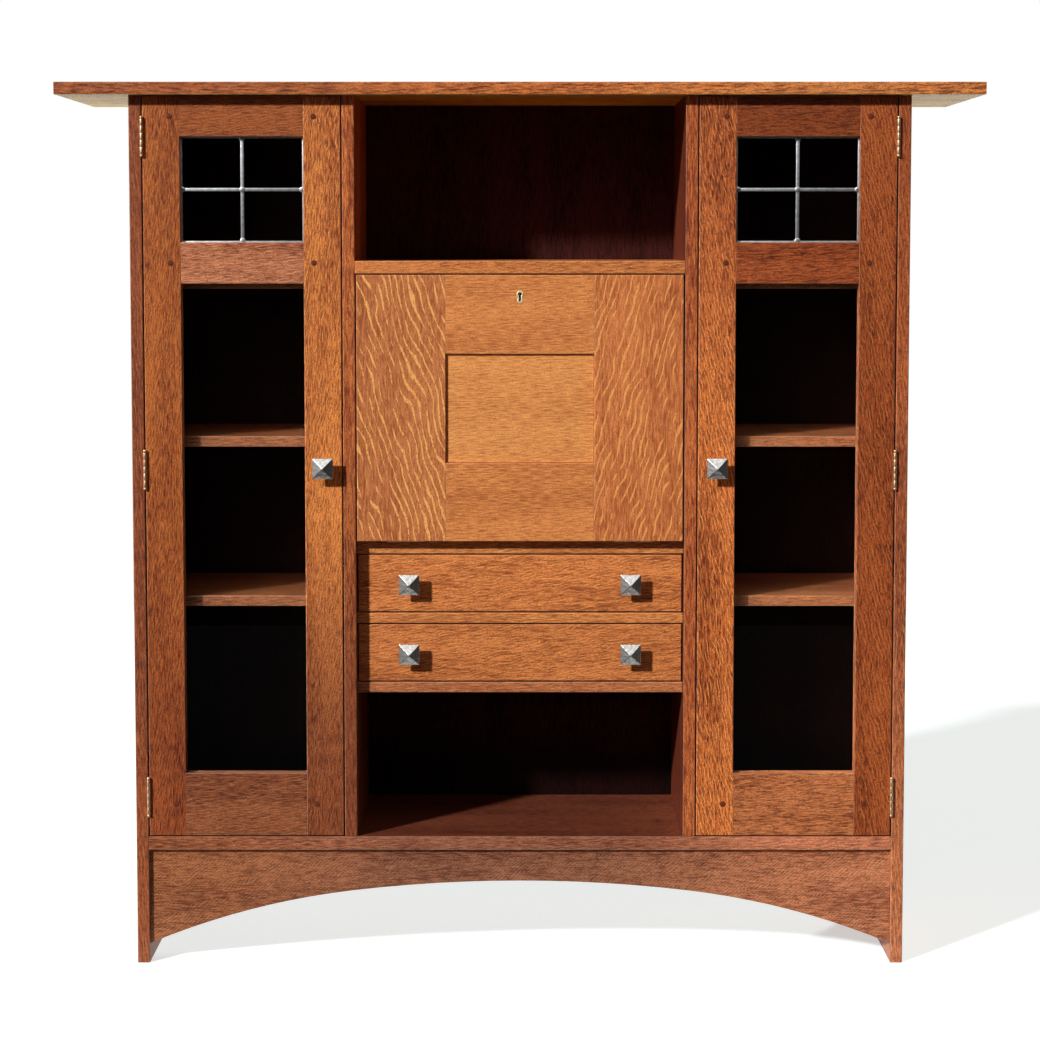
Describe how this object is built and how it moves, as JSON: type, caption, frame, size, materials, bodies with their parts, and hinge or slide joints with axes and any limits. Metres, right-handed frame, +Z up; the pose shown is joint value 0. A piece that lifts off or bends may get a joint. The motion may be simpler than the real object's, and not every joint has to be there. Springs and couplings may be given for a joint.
{
  "type": "secretary bookcase",
  "caption": "Oak secretary bookcase with glazed side doors, a fall-front desk, drawers and open cubbies between them, a wide overhanging top and an arched apron.",
  "frame": {"origin": "on the floor, under the middle of the piece's bounding box", "axes": "+X to the right seen from the front, along the top's length; +Y to the back; +Z up"},
  "size_m": [1.524, 0.3636, 1.4732],
  "materials": {
    "oak_top": "quarter-sawn oak, stained warm brown, satin lacquer",
    "oak_case": "quarter-sawn oak, stained warm brown, satin lacquer",
    "oak_back": "oak, stained dark red-brown, satin lacquer",
    "oak_inside": "oak, thin stain, satin lacquer",
    "oak_doors": "quarter-sawn oak, stained warm brown, satin lacquer",
    "oak_pegs": "oak end grain, stained dark, satin lacquer",
    "oak_fall": "quarter-sawn oak with strong ray fleck, satin lacquer",
    "oak_drawers": "quarter-sawn oak, stained warm brown, satin lacquer",
    "clear_glass": "clear, polished",
    "lead": "lead came, dull grey",
    "pewter": "hammered pewter",
    "brass": "polished brass",
    "steel": "plain steel",
    "catch_plastic": "dark brown, moulded"
  },
  "bodies": {
    "case": {"top_board": "oak_top", "right_side": "oak_case", "left_side": "oak_case", "right_partition": "oak_case", "left_partition": "oak_case", "base_board": "oak_case", "apron": "oak_case", "back_panels": "oak_back", "cubby_shelf": "oak_case", "desk_floor": "oak_case", "drawer_frame": "oak_case", "lower_deck": "oak_case", "bay_shelves": "oak_case", "shelf_pins": "steel", "door_catches": "catch_plastic", "pigeonhole_shelves": "oak_inside", "pigeonhole_dividers": "oak_inside", "hinge_case_leaves": "brass", "hinge_pins": "brass", "fall_hinge_bed_leaves": "brass", "stay_guides": "brass"},
    "fall": {"fall_stiles": "oak_fall", "fall_rails": "oak_fall", "fall_panel": "oak_fall", "escutcheon": "brass", "lock_case": "steel", "fall_hinge_fall_leaves": "brass", "stay_brackets": "brass"},
    "stays": {"stay_arms": "brass"},
    "bolt": {"lock_bolt": "steel"},
    "left_door": {"left_door_stiles": "oak_doors", "left_door_rails": "oak_doors", "left_door_pegs": "oak_pegs", "left_lead_came": "lead", "left_leaded_panes": "clear_glass", "left_long_pane": "clear_glass", "left_glass_stops": "oak_doors", "left_door_knob": "pewter", "left_catch_plate": "steel", "left_hinge_door_leaves": "brass"},
    "right_door": {"right_door_stiles": "oak_doors", "right_door_rails": "oak_doors", "right_door_pegs": "oak_pegs", "right_lead_came": "lead", "right_leaded_panes": "clear_glass", "right_long_pane": "clear_glass", "right_glass_stops": "oak_doors", "right_door_knob": "pewter", "right_catch_plate": "steel", "right_hinge_door_leaves": "brass"},
    "upper_drawer": {"upper_drawer_front": "oak_drawers", "upper_drawer_sides": "oak_inside", "upper_drawer_back": "oak_inside", "upper_drawer_bottom": "oak_inside", "upper_drawer_knobs": "pewter"},
    "lower_drawer": {"lower_drawer_front": "oak_drawers", "lower_drawer_sides": "oak_inside", "lower_drawer_back": "oak_inside", "lower_drawer_bottom": "oak_inside", "lower_drawer_knobs": "pewter"}
  },
  "joints": [
    {"name": "left_door_hinge", "type": "hinge", "parent": "case", "child": "left_door", "pos_m": [-0.6225, -0.1548, 0.8343], "axis": [0, 0, -1], "range_deg": [0, 170]},
    {"name": "right_door_hinge", "type": "hinge", "parent": "case", "child": "right_door", "pos_m": [0.6225, -0.1548, 0.8343], "axis": [0, 0, 1], "range_deg": [0, 170]},
    {"name": "fall_hinge", "type": "hinge", "parent": "case", "child": "fall", "pos_m": [0, -0.1312, 0.7133], "axis": [1, 0, 0], "range_deg": [0, 90]},
    {"name": "stay_pivot", "type": "hinge", "parent": "fall", "child": "stays", "pos_m": [0, -0.12106, 0.85829], "axis": [1, 0, 0], "range_deg": [-45, 0]},
    {"name": "lock_bolt_slide", "type": "slide", "parent": "fall", "child": "bolt", "axis": [0, 0, 1], "range_m": [0, 0.007]},
    {"name": "upper_drawer_slide", "type": "slide", "parent": "case", "child": "upper_drawer", "axis": [0, -1, 0], "range_m": [0, 0.19]},
    {"name": "lower_drawer_slide", "type": "slide", "parent": "case", "child": "lower_drawer", "axis": [0, -1, 0], "range_m": [0, 0.19]}
  ],
  "couplings": [
    {"joint": "stay_pivot", "follows": "fall_hinge", "ratio": -0.5}
  ]
}
